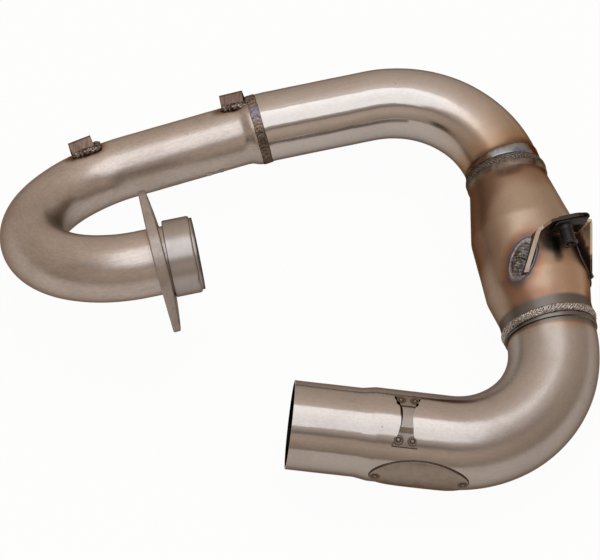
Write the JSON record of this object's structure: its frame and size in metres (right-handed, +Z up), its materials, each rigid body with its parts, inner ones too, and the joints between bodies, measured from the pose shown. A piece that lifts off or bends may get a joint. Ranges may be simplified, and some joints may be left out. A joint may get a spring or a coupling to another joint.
{
  "type": "motorcycle exhaust header",
  "caption": "Bent stainless exhaust header with a loose two-stud port flange, return bend, welded resonance chamber with clip nut bracket, and a slip-fit outlet.",
  "frame": {"origin": "middle of the bounding box at the surface the header lies on", "axes": "+X along the longest side, from the return bend towards the chamber, +Z up from the surface it lies on"},
  "size_m": [0.3666, 0.2946, 0.113],
  "materials": {
    "satin_stainless": "satin",
    "polished_stainless": "polished",
    "tinted_stainless": "satin, heat tinted by welding",
    "outlet_stainless": "half polished",
    "weld_bead": "rippled weld",
    "turned_steel": "fine turned",
    "flange_steel": "satin",
    "black_spring_steel": "black phosphate"
  },
  "bodies": {
    "header": {"head_pipe": "satin_stainless", "front_shield_tab": "satin_stainless", "rear_shield_tab": "satin_stainless", "mid_pipe": "polished_stainless", "resonance_chamber": "tinted_stainless", "shield_bracket": "tinted_stainless", "outlet_pipe": "outlet_stainless", "oval_plate": "outlet_stainless", "spring_hook_strap": "outlet_stainless", "mid_joint_weld": "weld_bead", "chamber_inlet_weld": "weld_bead", "chamber_outlet_weld": "weld_bead", "front_tab_weld": "weld_bead", "rear_tab_weld": "weld_bead", "underside_tack_welds": "weld_bead", "bracket_weld_left": "weld_bead", "bracket_weld_right": "weld_bead", "strap_spot_welds": "weld_bead", "plate_spot_welds": "weld_bead", "port_collar": "turned_steel", "clip_nut": "black_spring_steel"},
    "flange": {"port_flange": "flange_steel"}
  },
  "joints": [
    {"name": "flange_swivel", "type": "hinge", "parent": "header", "child": "flange", "pos_m": [-0.0786, -0.02413, 0.08396], "axis": [-0.9805, -0.1817, -0.075], "continuous": true}
  ]
}
